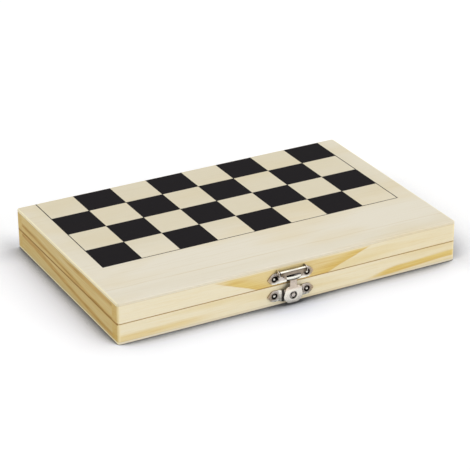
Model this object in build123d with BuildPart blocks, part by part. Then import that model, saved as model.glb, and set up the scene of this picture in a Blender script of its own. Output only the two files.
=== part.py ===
from build123d import *
from math import acos, atan2, cos, hypot, radians, sin, sqrt
import os

# Folding travel chess set: two shallow pine trays hinged along the back make a flat box.
# The outer face of each tray carries half of the board, and the men lie inside.
# Millimetres. X runs along the box, the catch is on the -Y side, the hinges on the +Y side.
# The origin is the middle of the underside, and the box is drawn shut.

# Board
square = 24.0
columns = 8
rows_per_half = 4
print_depth = 0.1
print_spread = 0.3
border_line = 0.6

# Box
box_length = 216.0
box_depth = 140.0
box_height = 25.0
seam = 0.1
rail_thickness = 7.0
panel_thickness = 1.5
corner_radius = 1.6
panel_edge_radius = 0.7
seam_edge_radius = 0.3

# Fits
nail_clearance = 0.02
pin_clearance = 0.05
leaf_clearance = 0.1
knuckle_clearance = 0.2
seat_clearance = 0.1

# Hinges
hinge_spacing = 130.0
hinge_width = 18.0
hinge_reach = 5.6
leaf_thickness = 0.7
hinge_pin_radius = 0.7
axis_setback = 0.15
knuckle_count = 3
screw_spacing = 10.0
screw_shank_radius = 0.7
screw_head_radius = 1.35
screw_length = 7.0

# Catch
catch_x = -1.8
sheet = 0.5
plate_thickness = 0.7
plate_edge_radius = 0.3
plate_half_height = 3.4
plate_tip = 14.8
upper_nail_z = 16.8
lower_nail_z = 6.2
nail_spacing = 20.8
nail_head_radius = 1.0
nail_head_height = 0.6
nail_shank_radius = 0.6
nail_length = 5.5
dish_radius = 1.6
dish_depth = 0.4
dish_flare = 25
catch_pin_radius = 0.65
catch_pin_z = 20.1
catch_pin_stand_off = 2.1
catch_pin_head = 0.4
catch_pin_head_radius = 1.0
ear_radius = 1.9
ear_root = 3.8
ear_gap = 17.2
keeper_rise = 2.4
keeper_half_width = 6.0
keeper_ramp = 1.4
nub_radius = 1.3
nub_height = 1.1
nub_edge_radius = 0.65

# Tongue of the catch, which has slid a little along its pin
tongue_slide = 0.4
tongue_sheet = 0.6
tongue_top_width = 16.2
tongue_body_width = 12.4
louvre_top_z = 17.8
louvre_bottom_z = 15.7
louvre_width = 9.4
louvre_proud = 0.65
louvre_wall = 0.35
louvre_bow = 0.7
apron_bottom_z = 14.9
window_width = 8.8
window_height = 1.05
neck_width = 4.2
disc_shoulder_width = 8.8
disc_shoulder_z = 11.4
disc_width = 12.4
disc_widest_z = 4.8
disc_heel_width = 7.0
disc_bottom_z = 1.1
disc_corner_radius = 2.8
disc_z = 5.6
disc_hole_radius = 2.1

# Chessmen
king_height = 31.0
king_base = 13.0
queen_height = 28.5
queen_base = 12.5
bishop_height = 25.5
bishop_base = 12.0
knight_height = 23.5
knight_base = 12.0
rook_height = 21.0
rook_base = 12.0
pawn_height = 19.0
pawn_base = 10.5
men_sizes = {
    "king": (king_height, king_base),
    "queen": (queen_height, queen_base),
    "bishop": (bishop_height, bishop_base),
    "knight": (knight_height, knight_base),
    "rook": (rook_height, rook_base),
    "pawn": (pawn_height, pawn_base),
}
officers = ["rook", "knight", "bishop", "queen", "king", "bishop", "knight", "rook"]
base_thickness = 1.8
base_chamfer = 0.3
foot_rise = 1.2
collar_thickness = 0.9
knight_thickness = 4.6
cross_thickness = 1.3
rook_notch_depth = 1.2
rook_well_depth = 1.4
slit_width = 0.7
slit_tilt = 35

# Shapes of the men: widths are shares of the base's radius, heights shares of the man's
foot_width = 0.68
waist_width = 0.34
stem_bow = 0.24
stem_bow_rise = 0.42
pawn_head = 0.66
pawn_collar = 0.6
pawn_collar_lap = 0.6
rook_head = 0.68
rook_collar_rise = 0.66
rook_throat = 0.86
rook_well = 0.55
rook_notch = 0.3
bishop_head = 0.56
bishop_collar = 0.62
bishop_collar_rise = 0.56
bishop_throat = 0.5
bishop_knob = 0.16
slit_rise = 0.8
slit_reach = 0.6
queen_head = 0.62
queen_collar = 0.58
queen_collar_rise = 0.62
queen_crown_rise = 0.9
queen_throat = 0.55
queen_ball = 0.56
king_head = 0.6
king_collar = 0.6
king_collar_rise = 0.6
king_crown_rise = 0.82
king_dome_rise = 0.88
king_throat = 0.58
king_cap = 0.3
cross_rise = 0.93
cross_arms = 2.4
knight_collar = 0.7
knight_collar_rise = 0.3
knight_reach = 0.62

# Side view of the knight's head, as shares of its reach and of its height above the collar:
# chest and throat, jaw and muzzle, brow and ears, then the mane down to the nape
horse_outline = [
    (0.72, 0.0),
    (0.8, 0.13),
    (0.64, 0.31),
    (0.22, 0.5),
    (0.42, 0.56),
    (1.02, 0.5),
    (1.16, 0.55),
    (1.13, 0.65),
    (0.84, 0.75),
    (0.5, 0.87),
    (0.34, 0.92),
    (0.26, 1.0),
    (0.02, 0.93),
    (-0.42, 0.88),
    (-0.74, 0.75),
    (-0.92, 0.56),
    (-0.92, 0.36),
    (-0.76, 0.0),
]
men_pitch = 15.2
men_side_gap = 2.0
pawn_end_gap = 2.2
officer_end_gap = 24.0
men_turn = 2.5
turn_step = 2.3
men_seat = 0.15

# Worked out from the sizes above
half_height = (box_height - seam) / 2
lid_bottom = box_height - half_height
parting = box_height / 2
rail_height = half_height - panel_thickness
front_y = -box_depth / 2
back_y = box_depth / 2
tray_length = box_length - 2 * rail_thickness
tray_depth = box_depth - 2 * rail_thickness
board_front_y = back_y - rows_per_half * square
axis_y = back_y + axis_setback
knuckle_radius = hinge_pin_radius + pin_clearance + leaf_thickness
barrel_radius = catch_pin_radius + pin_clearance + tongue_sheet
ear_x = ear_gap / 2 + sheet / 2
front_plane = Plane(origin=(catch_x, front_y, 0), x_dir=(1, 0, 0), z_dir=(0, -1, 0))
tongue_x = catch_x + tongue_slide
tongue_plane = Plane(origin=(tongue_x, front_y, 0), x_dir=(1, 0, 0), z_dir=(0, -1, 0))


def side_plane(x):
    # Upright plane across the box at x: its first axis points out of the front, its second up
    return Plane(origin=(x, front_y, 0), x_dir=(0, -1, 0), z_dir=(-1, 0, 0))


def back_plane(x):
    # Upright plane across the box at x: its first axis points out of the back, its second up
    return Plane(origin=(x, axis_y, parting), x_dir=(0, 1, 0), z_dir=(1, 0, 0))


def save(builder, name):
    builder.part.label = name
    export_step(builder.part, f"parts/{name}.step")


# Board print: squares a hair larger than the pitch, so that their corners join,
# and a border line on the three sides away from the fold
def draw_print(dark_parity):
    dark_centres = [
        ((column - (columns - 1) / 2) * square, board_front_y + (row + 0.5) * square)
        for column in range(columns)
        for row in range(rows_per_half)
        if (column + row) % 2 == dark_parity
    ]
    middle_y = (board_front_y + back_y) / 2
    with Locations(*dark_centres):
        Rectangle(square + print_spread, square + print_spread)
    with Locations((0, board_front_y)):
        Rectangle(columns * square + border_line, border_line)
    with Locations((-columns * square / 2, middle_y), (columns * square / 2, middle_y)):
        Rectangle(border_line, rows_per_half * square)
    Rectangle(box_length, box_depth - 2 * panel_edge_radius, mode=Mode.INTERSECT)


def make_print(name, outer_z, inward, dark_parity):
    with BuildPart() as board_print:
        with BuildSketch(Plane.XY.offset(outer_z)):
            draw_print(dark_parity)
        extrude(amount=inward * print_depth)
    save(board_print, name)


# Thin plywood panel with its outer edge rounded and the print let in flush
def make_panel(name, outer_z, inward, dark_parity):
    with BuildPart() as panel:
        with BuildSketch(Plane.XY.offset(outer_z)):
            RectangleRounded(box_length, box_depth, corner_radius)
        extrude(amount=inward * panel_thickness)
        fillet(panel.faces().sort_by(Axis.Z)[-1 if inward < 0 else 0].edges(), panel_edge_radius)
        with BuildSketch(Plane.XY.offset(outer_z)):
            draw_print(dark_parity)
        extrude(amount=inward * print_depth, mode=Mode.SUBTRACT)
    save(panel, name)


# Room in a back rail for the hinges: a round notch for the knuckles, a shallow seat for the
# leaf and pilot holes for its screws. Up is +1 in the lid and -1 in the tray below.
def cut_hinge_seats(up):
    for side in (-1, 1):
        x = side * hinge_spacing / 2
        with BuildSketch(back_plane(x)) as seat:
            Circle(knuckle_radius + knuckle_clearance)
            with Locations((-(hinge_reach + leaf_clearance) / 2, up * (leaf_thickness + seam / 2) / 2)):
                Rectangle(hinge_reach + leaf_clearance, leaf_thickness + seam / 2)
        extrude(seat.sketch, amount=hinge_width / 2 + knuckle_clearance, both=True, mode=Mode.SUBTRACT)
        with BuildSketch(Plane.XY.offset(parting)) as pilots:
            with Locations((x, back_y - rail_thickness / 2)):
                with GridLocations(screw_spacing, 0, 2, 1):
                    Circle(screw_shank_radius + nail_clearance)
        extrude(pilots.sketch, amount=up * (screw_length + seam), mode=Mode.SUBTRACT)


# Pilot holes for the two nails of a catch plate
def cut_nail_holes(nail_z):
    with BuildSketch(front_plane) as pilots:
        with Locations((0, nail_z)):
            with GridLocations(nail_spacing, 0, 2, 1):
                Circle(nail_shank_radius + nail_clearance)
    extrude(pilots.sketch, amount=-nail_length, mode=Mode.SUBTRACT)


# The four rails of a tray: the long ones run through and the short ones butt between them.
# Up is +1 for the lid, whose seam face looks down, and -1 for the tray below.
def make_rails(half, seam_z, up, nail_z):
    seam_face = 0 if up > 0 else -1
    for name, side in (("front", -1), ("back", 1)):
        with BuildPart() as long_rail:
            with BuildSketch(Plane.XY.offset(seam_z)):
                RectangleRounded(box_length, box_depth, corner_radius)
                with Locations((0, side * (box_depth - rail_thickness) / 2)):
                    Rectangle(box_length, rail_thickness, mode=Mode.INTERSECT)
            extrude(amount=up * rail_height)
            rim = long_rail.faces().sort_by(Axis.Z)[seam_face]
            outer_edges = rim.edges().sort_by(Axis.Y)
            fillet(outer_edges[1:] if side > 0 else outer_edges[:-1], seam_edge_radius)
            if side > 0:
                cut_hinge_seats(up)
            else:
                cut_nail_holes(nail_z)
        save(long_rail, f"{half}_{name}_rail")
    for name, side in (("left", -1), ("right", 1)):
        with BuildPart() as short_rail:
            with BuildSketch(Plane.XY.offset(seam_z)):
                with Locations((side * (box_length - rail_thickness) / 2, 0)):
                    Rectangle(rail_thickness, tray_depth)
            extrude(amount=up * rail_height)
            rim = short_rail.faces().sort_by(Axis.Z)[seam_face]
            fillet(rim.edges().sort_by(Axis.X)[-1 if side > 0 else 0], seam_edge_radius)
        save(short_rail, f"{half}_{name}_rail")


def leaf_top(x, up):
    # Where the screws go in: over the rail's middle, on the face of the leaf that meets the other
    return Plane(origin=(x, back_y - rail_thickness / 2, parting + up * seam / 2), z_dir=(0, 0, -up))


# Hinge leaf: a flat plate let into the rim, rolled round the pin at every other knuckle
def make_hinge_leaf(name, x, up, first_knuckle):
    knuckle_pitch = hinge_width / knuckle_count
    with BuildPart() as leaf:
        with BuildSketch(back_plane(x)):
            Circle(knuckle_radius)
            with Locations((-hinge_reach / 2, up * (leaf_thickness + seam) / 2)):
                Rectangle(hinge_reach, leaf_thickness)
        extrude(amount=hinge_width / 2, both=True)
        for knuckle in range(knuckle_count):
            if knuckle % 2 != first_knuckle:
                knuckle_x = (knuckle - (knuckle_count - 1) / 2) * knuckle_pitch
                with BuildSketch(back_plane(x + knuckle_x)):
                    Circle(knuckle_radius + knuckle_clearance)
                gap = knuckle_pitch / 2 + knuckle_clearance / 2
                extrude(amount=gap, both=True, mode=Mode.SUBTRACT)
        with BuildSketch(back_plane(x)):
            Circle(hinge_pin_radius + pin_clearance)
        extrude(amount=hinge_width / 2, both=True, mode=Mode.SUBTRACT)
        with Locations(leaf_top(x, up)):
            with GridLocations(screw_spacing, 0, 2, 1):
                CounterSinkHole(
                    screw_shank_radius + nail_clearance, screw_head_radius + nail_clearance
                )
    save(leaf, name)


def make_hinge_screws(name, up):
    head_depth = screw_head_radius - screw_shank_radius
    with BuildPart() as screws:
        for side in (-1, 1):
            top = leaf_top(side * hinge_spacing / 2, up)
            for screw_x in (-screw_spacing / 2, screw_spacing / 2):
                middle = top.from_local_coords((screw_x, 0, 0))
                with BuildSketch(Plane(origin=middle, x_dir=(1, 0, 0), z_dir=(0, -1, 0))):
                    with BuildLine():
                        Polyline(
                            (0, 0),
                            (screw_head_radius, 0),
                            (screw_shank_radius, up * head_depth),
                            (screw_shank_radius, up * (screw_length - screw_shank_radius)),
                            (0, up * screw_length),
                            close=True,
                        )
                    make_face()
                revolve(axis=Axis(middle, (0, 0, 1)))
    save(screws, name)


def make_hinge_pin(name, x):
    with BuildPart() as pin:
        with BuildSketch(back_plane(x)):
            Circle(hinge_pin_radius)
        extrude(amount=hinge_width / 2, both=True)
        chamfer(pin.edges().filter_by(GeomType.CIRCLE), hinge_pin_radius / 4)
    save(pin, name)


# Outline of a catch plate: straight in the middle, round about each nail, drawn to a point
def draw_catch_plate(nail_z):
    nail_x = nail_spacing / 2
    reach = plate_tip - nail_x
    turn = acos(plate_half_height / reach)
    halfway = (turn + radians(90)) / 2
    tangent = (nail_x + plate_half_height * cos(turn), plate_half_height * sin(turn))
    on_arc = (nail_x + plate_half_height * cos(halfway), plate_half_height * sin(halfway))
    with BuildLine() as outline:
        Line((0, plate_half_height), (nail_x, plate_half_height))
        ThreePointArc((nail_x, plate_half_height), on_arc, tangent)
        Line(tangent, (plate_tip, 0))
        mirror(about=Plane.XZ)
        mirror(about=Plane.YZ)
    with Locations((0, nail_z)):
        add(make_face(outline.edges(), mode=Mode.PRIVATE))


# Nail holes through a catch plate, each in a shallow dish that its head sits in
def cut_dishes(nail_z):
    with BuildSketch(front_plane) as holes:
        with Locations((0, nail_z)):
            with GridLocations(nail_spacing, 0, 2, 1):
                Circle(nail_shank_radius + nail_clearance)
    extrude(holes.sketch, amount=plate_thickness, mode=Mode.SUBTRACT)
    with BuildSketch(front_plane.offset(plate_thickness - dish_depth)) as dishes:
        with Locations((0, nail_z)):
            with GridLocations(nail_spacing, 0, 2, 1):
                Circle(dish_radius)
    extrude(dishes.sketch, amount=dish_depth, taper=-dish_flare, mode=Mode.SUBTRACT)


# The outline of a catch plate's flat front face, taken before its holes are cut
def front_edges(plate):
    return plate.faces().sort_by(Axis.Y)[0].edges()


# Two domed nails driven through a catch plate into the rail
def make_nails(name, nail_z):
    dome_radius = (nail_head_radius**2 + nail_head_height**2) / (2 * nail_head_height)
    head_seat = plate_thickness - dish_depth
    with BuildPart() as nails:
        for nail_x in (catch_x - nail_spacing / 2, catch_x + nail_spacing / 2):
            with BuildSketch(side_plane(nail_x)):
                with Locations((head_seat, nail_z)):
                    with Locations((nail_head_height - dome_radius, 0)):
                        Circle(dome_radius)
                    with Locations((nail_head_height / 2, nail_head_radius / 2)):
                        Rectangle(nail_head_height, nail_head_radius, mode=Mode.INTERSECT)
                with Locations(((head_seat - nail_length) / 2, nail_z + nail_shank_radius / 2)):
                    Rectangle(head_seat + nail_length, nail_shank_radius)
            revolve(axis=Axis((nail_x, front_y, nail_z), (0, -1, 0)))
    save(nails, name)


# Upper plate of the catch, with the two ears that hold the tongue's pin
def make_catch_plate():
    with BuildPart() as catch_plate:
        with BuildSketch(front_plane):
            draw_catch_plate(upper_nail_z)
        extrude(amount=plate_thickness)
        fillet(front_edges(catch_plate), plate_edge_radius)
        cut_dishes(upper_nail_z)
        for side in (-1, 1):
            with BuildSketch(side_plane(catch_x + side * ear_x)):
                with Locations((catch_pin_stand_off / 2, catch_pin_z + (ear_radius - ear_root) / 2)):
                    Rectangle(catch_pin_stand_off, ear_radius + ear_root)
                with Locations((catch_pin_stand_off, catch_pin_z)):
                    Circle(ear_radius)
                    Circle(catch_pin_radius + nail_clearance, mode=Mode.SUBTRACT)
            extrude(amount=sheet / 2, both=True)
    save(catch_plate, "catch_plate")


def make_catch_pin():
    half_length = ear_x + sheet / 2
    with BuildPart() as catch_pin:
        with BuildSketch(side_plane(catch_x)):
            with Locations((catch_pin_stand_off, catch_pin_z)):
                Circle(catch_pin_radius)
        extrude(amount=half_length, both=True)
        for side in (-1, 1):
            with BuildSketch(side_plane(catch_x + side * (half_length + catch_pin_head / 2))):
                with Locations((catch_pin_stand_off, catch_pin_z)):
                    Circle(catch_pin_head_radius)
            extrude(amount=catch_pin_head / 2, both=True)
    save(catch_pin, "catch_pin")


# Lower plate: one strip bent up over a low bridge, with the nub pressed out of its middle
def make_keeper():
    with BuildPart() as keeper:
        with BuildSketch(Plane.XY.offset(lower_nail_z)):
            with BuildLine():
                foot_x = keeper_half_width + keeper_ramp
                bridge = Polyline(
                    (catch_x - plate_tip, front_y),
                    (catch_x - foot_x, front_y),
                    (catch_x - keeper_half_width, front_y - keeper_rise + plate_thickness),
                    (catch_x + keeper_half_width, front_y - keeper_rise + plate_thickness),
                    (catch_x + foot_x, front_y),
                    (catch_x + plate_tip, front_y),
                )
                offset(bridge, amount=plate_thickness, side=Side.RIGHT)
            make_face()
        extrude(amount=plate_half_height, both=True)
        with BuildSketch(front_plane):
            draw_catch_plate(lower_nail_z)
        extrude(amount=keeper_rise, mode=Mode.INTERSECT)
        cut_dishes(lower_nail_z)
        with BuildSketch(tongue_plane.offset(keeper_rise)):
            with Locations((0, disc_z)):
                Circle(nub_radius)
        extrude(amount=nub_height)
        fillet(keeper.faces().sort_by(Axis.Y)[0].edges(), nub_edge_radius)
    save(keeper, "keeper_plate")


# Front outline of the tongue, upright and in place: the wide top, the apron whose lower
# edge follows the louvre, the neck and the round-cornered disc
def draw_tongue_front():
    with Locations((0, (louvre_top_z + catch_pin_z + barrel_radius) / 2)):
        Rectangle(tongue_body_width, catch_pin_z + barrel_radius - louvre_top_z)
    with Locations((0, catch_pin_z)):
        Rectangle(tongue_top_width, 2 * barrel_radius)
    apron_left = (-tongue_body_width / 2, louvre_top_z)
    apron_right = (tongue_body_width / 2, louvre_top_z)
    with BuildLine() as apron:
        Line(apron_left, apron_right)
        ThreePointArc(apron_left, (0, apron_bottom_z), apron_right)
    make_face(apron.edges())
    with Locations((0, (louvre_top_z + disc_z) / 2)):
        Rectangle(neck_width, louvre_top_z - disc_z)
    with BuildLine() as disc:
        FilletPolyline(
            (-disc_shoulder_width / 2, disc_shoulder_z),
            (-disc_width / 2, disc_widest_z),
            (-disc_heel_width / 2, disc_bottom_z),
            (disc_heel_width / 2, disc_bottom_z),
            (disc_width / 2, disc_widest_z),
            (disc_shoulder_width / 2, disc_shoulder_z),
            radius=disc_corner_radius,
            close=True,
        )
    make_face(disc.edges())


# A shallow dome on the tongue, cut straight along its top: its side view is turned about a
# far upright axis. Back and front are distances out of the box, and proud is its height.
def louvre_dome(back, front, proud, width, bottom_z):
    turn_radius = ((width / 2) ** 2 + proud**2) / (2 * proud)
    turn_y = front_y - front - proud + turn_radius
    crest_z = louvre_top_z - proud
    shoulder = (front + proud * louvre_bow, (bottom_z + crest_z) / 2)
    with BuildPart() as dome:
        with BuildSketch(side_plane(tongue_x)):
            with BuildLine():
                ThreePointArc((front, bottom_z), shoulder, (front + proud, crest_z))
                Line((front + proud, crest_z), (front + proud, louvre_top_z))
                Line((front + proud, louvre_top_z), (back, louvre_top_z))
                Line((back, louvre_top_z), (back, bottom_z))
                Line((back, bottom_z), (front, bottom_z))
            make_face()
        revolve(axis=Axis((tongue_x, turn_y, 0), (0, 0, 1)))
        with BuildSketch(tongue_plane.offset(back)):
            with Locations((0, louvre_top_z)):
                Rectangle(width - 2 * louvre_wall, 2 * (louvre_top_z - bottom_z))
        extrude(amount=front + proud - back, mode=Mode.INTERSECT)
    return dome.part


# Tongue: one strip of sheet rolled round the pin, with a louvre pressed out below its
# window, dropping to the disc that snaps over the nub
def make_tongue():
    disc_face = keeper_rise + seat_clearance
    top_face = catch_pin_stand_off + barrel_radius - tongue_sheet
    front = top_face + tongue_sheet
    with BuildPart() as tongue:
        with BuildSketch(side_plane(tongue_x)):
            with BuildLine():
                strip = FilletPolyline(
                    (top_face, catch_pin_z),
                    (top_face, apron_bottom_z),
                    (disc_face, apron_bottom_z - 2 * tongue_sheet),
                    (disc_face, disc_bottom_z),
                    radius=tongue_sheet,
                )
                offset(strip, amount=tongue_sheet, side=Side.LEFT)
            make_face()
            with Locations((catch_pin_stand_off, catch_pin_z)):
                Circle(barrel_radius)
                Circle(catch_pin_radius + pin_clearance, mode=Mode.SUBTRACT)
        extrude(amount=tongue_top_width / 2, both=True)
        with BuildSketch(tongue_plane):
            draw_tongue_front()
            with Locations((0, louvre_top_z + window_height / 2)):
                Rectangle(window_width, window_height, mode=Mode.SUBTRACT)
            with Locations((0, disc_z)):
                Circle(disc_hole_radius, mode=Mode.SUBTRACT)
        extrude(amount=2 * (catch_pin_stand_off + barrel_radius), mode=Mode.INTERSECT)
        inner_width = louvre_width - 2 * louvre_wall
        inner_proud = louvre_proud - louvre_wall
        add(louvre_dome(front - tongue_sheet / 2, front, louvre_proud, louvre_width, louvre_bottom_z))
        add(
            louvre_dome(top_face, front, inner_proud, inner_width, louvre_bottom_z + louvre_wall),
            mode=Mode.SUBTRACT,
        )
    save(tongue, "catch_tongue")


# Chessmen are turned on their own axis: X is the radius and Y the height above the base.
# Each outline below starts at the middle of the base and ends on the axis at the top.
def draw_stem(base_radius, collar_z, collar_radius):
    waist = base_radius * waist_width
    foot = base_radius * foot_width
    foot_z = base_thickness + foot_rise
    bow = (waist + (foot - waist) * stem_bow, foot_z + (collar_z - foot_z) * stem_bow_rise)
    Line((0, 0), (base_radius - base_chamfer, 0))
    Line((base_radius - base_chamfer, 0), (base_radius, base_chamfer))
    Line((base_radius, base_chamfer), (base_radius, base_thickness))
    Line((base_radius, base_thickness), (foot, foot_z))
    ThreePointArc((foot, foot_z), bow, (waist, collar_z))
    Line((waist, collar_z), (collar_radius, collar_z))
    Line((collar_radius, collar_z), (collar_radius, collar_z + collar_thickness))


def draw_pawn(height, base_radius):
    head = base_radius * pawn_head
    collar_z = height - 2 * head - collar_thickness * pawn_collar_lap
    collar_radius = base_radius * pawn_collar
    head_z = height - head
    collar_top = collar_z + collar_thickness
    neck = sqrt(head**2 - (head_z - collar_top) ** 2)
    draw_stem(base_radius, collar_z, collar_radius)
    Line((collar_radius, collar_top), (neck, collar_top))
    ThreePointArc((neck, collar_top), (head, head_z), (0, height))
    Line((0, height), (0, 0))
    return head, head_z


def draw_rook(height, base_radius):
    head = base_radius * rook_head
    throat = head * rook_throat
    well = head * rook_well
    collar_z = height * rook_collar_rise
    draw_stem(base_radius, collar_z, head)
    Line((head, collar_z + collar_thickness), (throat, collar_z + 2 * collar_thickness))
    Line((throat, collar_z + 2 * collar_thickness), (head, height))
    Line((head, height), (well, height))
    Line((well, height), (well, height - rook_well_depth))
    Line((well, height - rook_well_depth), (0, height - rook_well_depth))
    Line((0, height - rook_well_depth), (0, 0))
    return head, height


def draw_bishop(height, base_radius):
    head = base_radius * bishop_head
    collar_z = height * bishop_collar_rise
    collar_radius = base_radius * bishop_collar
    collar_top = collar_z + collar_thickness
    throat = head * bishop_throat
    knob = base_radius * bishop_knob
    head_z = collar_top + head
    draw_stem(base_radius, collar_z, collar_radius)
    Line((collar_radius, collar_top), (throat, collar_top))
    ThreePointArc((throat, collar_top), (head, head_z), (knob, height - 2 * knob))
    Line((knob, height - 2 * knob), (knob, height))
    Line((knob, height), (0, height))
    Line((0, height), (0, 0))
    return head, head_z


def draw_queen(height, base_radius):
    head = base_radius * queen_head
    collar_z = height * queen_collar_rise
    collar_radius = base_radius * queen_collar
    collar_top = collar_z + collar_thickness
    crown_z = height * queen_crown_rise
    throat = head * queen_throat
    flare = (throat + (head - throat) * stem_bow, (collar_top + crown_z) / 2)
    ball = (height - crown_z) * queen_ball
    ball_foot = sqrt(ball**2 - (height - ball - crown_z) ** 2)
    draw_stem(base_radius, collar_z, collar_radius)
    Line((collar_radius, collar_top), (throat, collar_top))
    ThreePointArc((throat, collar_top), flare, (head, crown_z))
    Line((head, crown_z), (ball_foot, crown_z))
    ThreePointArc((ball_foot, crown_z), (ball, height - ball), (0, height))
    Line((0, height), (0, 0))
    return head, crown_z


def draw_king(height, base_radius):
    head = base_radius * king_head
    collar_z = height * king_collar_rise
    collar_radius = base_radius * king_collar
    collar_top = collar_z + collar_thickness
    crown_z = height * king_crown_rise
    top = height * king_dome_rise
    draw_stem(base_radius, collar_z, collar_radius)
    Line((collar_radius, collar_top), (head * king_throat, collar_top))
    Line((head * king_throat, collar_top), (head, crown_z))
    Line((head, crown_z), (head * king_cap, top))
    Line((head * king_cap, top), (0, top))
    Line((0, top), (0, 0))
    return head, crown_z


def draw_knight_stand(height, base_radius):
    collar_z = height * knight_collar_rise
    collar_radius = base_radius * knight_collar
    collar_top = collar_z + collar_thickness
    draw_stem(base_radius, collar_z, collar_radius)
    Line((collar_radius, collar_top), (0, collar_top))
    Line((0, collar_top), (0, 0))
    return knight_thickness / 2, height


def draw_horse_head(height, base_radius):
    low = height * knight_collar_rise + collar_thickness / 2
    rise = height - low
    reach = base_radius * knight_reach
    with BuildLine() as head:
        Polyline(*[(reach * across, low + rise * up) for across, up in horse_outline], close=True)
    make_face(head.edges())


outlines = {
    "pawn": draw_pawn,
    "rook": draw_rook,
    "knight": draw_knight_stand,
    "bishop": draw_bishop,
    "queen": draw_queen,
    "king": draw_king,
}


def lying_plane(x, y, heading, base_radius, head_radius, head_z):
    # A man on its side rests on the rim of its base and on its head, so its axis slopes down.
    # Returned: the base's middle as origin, X upwards from the axis and Y along the axis.
    span = hypot(base_radius, head_z - base_thickness)
    slope = acos(head_radius / span) - atan2(head_z - base_thickness, base_radius)
    forward = Vector(-sin(heading), cos(heading), 0)
    axis = forward * cos(slope) - Vector(0, 0, sin(slope))
    upward = Vector(0, 0, cos(slope)) + forward * sin(slope)
    centre_z = panel_thickness + men_seat + base_radius * cos(slope) + base_thickness * sin(slope)
    return Plane(origin=(x, y, centre_z), x_dir=upward, z_dir=upward.cross(axis))


def make_man(name, kind, x, y, heading):
    height, base_diameter = men_sizes[kind]
    base_radius = base_diameter / 2
    with BuildSketch() as outline:
        with BuildLine():
            head_radius, head_z = outlines[kind](height, base_radius)
        make_face()
    place = lying_plane(x, y, heading, base_radius, head_radius, head_z)
    flat = Plane(origin=place.origin, x_dir=place.z_dir, z_dir=-place.x_dir)
    with BuildPart() as man:
        with BuildSketch(place):
            add(outline.sketch)
        revolve(axis=Axis(place.origin, place.y_dir))
        if kind == "knight":
            with BuildSketch(flat):
                draw_horse_head(height, base_radius)
            extrude(amount=knight_thickness / 2, both=True)
        if kind == "king":
            with BuildSketch(flat):
                with Locations((0, height * cross_rise)):
                    Rectangle(cross_thickness, 2 * height * (1 - cross_rise))
                    Rectangle(cross_thickness * cross_arms, cross_thickness)
            extrude(amount=cross_thickness / 2, both=True)
        if kind == "rook":
            for turn in (0, 90):
                with BuildSketch(flat.rotated((0, turn, 0))):
                    with Locations((0, height)):
                        Rectangle(base_radius * rook_notch, 2 * rook_notch_depth)
                extrude(amount=base_radius, both=True, mode=Mode.SUBTRACT)
        if kind == "bishop":
            with BuildSketch(place):
                with Locations(Location((base_radius / 2, height * slit_rise), -slit_tilt)):
                    Rectangle(base_radius * slit_reach, slit_width)
            extrude(amount=base_radius, both=True, mode=Mode.SUBTRACT)
    save(man, name)


# The men lie in four rows at the left of the tray, heads towards its middle: each side's
# pawns along the rail and its officers next to them, every man turned a little
def make_men():
    counts = {}
    for colour, side in (("white", -1), ("black", 1)):
        for row, kinds in (("pawns", ["pawn"] * columns), ("officers", officers)):
            end_gap = pawn_end_gap if row == "pawns" else officer_end_gap
            for place, kind in enumerate(kinds):
                number = counts.get((colour, kind), 0) + 1
                counts[(colour, kind)] = number
                lone = kinds.count(kind) == 1
                name = f"{colour}_{kind}" if lone else f"{colour}_{kind}_{number}"
                x = men_side_gap - tray_length / 2 + (place + 0.5) * men_pitch
                y = side * (tray_depth / 2 - end_gap)
                turned = radians(men_turn) * sin(turn_step * place + len(kinds[0]) + side)
                heading = turned if side < 0 else radians(180) + turned
                make_man(name, kind, x, y, heading)


os.makedirs("parts", exist_ok=True)

make_panel("bottom_panel", 0, 1, 1)
make_print("bottom_print", 0, 1, 1)
make_panel("top_panel", box_height, -1, 0)
make_print("top_print", box_height, -1, 0)
make_rails("bottom", half_height, -1, lower_nail_z)
make_rails("top", lid_bottom, 1, upper_nail_z)

for hand, side in (("left", -1), ("right", 1)):
    hinge_x = side * hinge_spacing / 2
    make_hinge_leaf(f"{hand}_hinge_lower_leaf", hinge_x, -1, 0)
    make_hinge_leaf(f"{hand}_hinge_upper_leaf", hinge_x, 1, 1)
    make_hinge_pin(f"{hand}_hinge_pin", hinge_x)
make_hinge_screws("lower_hinge_screws", -1)
make_hinge_screws("upper_hinge_screws", 1)

make_catch_plate()
make_catch_pin()
make_tongue()
make_keeper()
make_nails("catch_plate_nails", upper_nail_z)
make_nails("keeper_nails", lower_nail_z)

make_men()
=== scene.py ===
import math

import bpy
from mathutils import Matrix, Vector


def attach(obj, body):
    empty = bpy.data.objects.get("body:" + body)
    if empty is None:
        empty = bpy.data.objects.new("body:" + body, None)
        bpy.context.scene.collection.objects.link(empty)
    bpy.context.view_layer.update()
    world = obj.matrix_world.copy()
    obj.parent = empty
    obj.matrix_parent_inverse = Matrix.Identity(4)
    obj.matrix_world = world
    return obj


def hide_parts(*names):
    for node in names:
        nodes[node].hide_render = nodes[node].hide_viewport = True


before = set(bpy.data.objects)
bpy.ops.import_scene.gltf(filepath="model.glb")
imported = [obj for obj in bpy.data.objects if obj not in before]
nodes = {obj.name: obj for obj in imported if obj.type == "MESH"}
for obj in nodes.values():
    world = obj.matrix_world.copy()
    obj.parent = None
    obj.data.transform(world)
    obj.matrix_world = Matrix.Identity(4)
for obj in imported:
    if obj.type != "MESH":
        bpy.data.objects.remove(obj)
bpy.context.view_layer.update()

# Folding travel chess set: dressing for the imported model. Sizes are written in millimetres.
mm = 0.001
bpy.ops.object.select_all(action="DESELECT")
print("frame loaded:", len(nodes), "nodes")


def placed(name, data):
    made = bpy.data.objects.new(name, data)
    bpy.context.scene.collection.objects.link(made)
    return made


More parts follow.
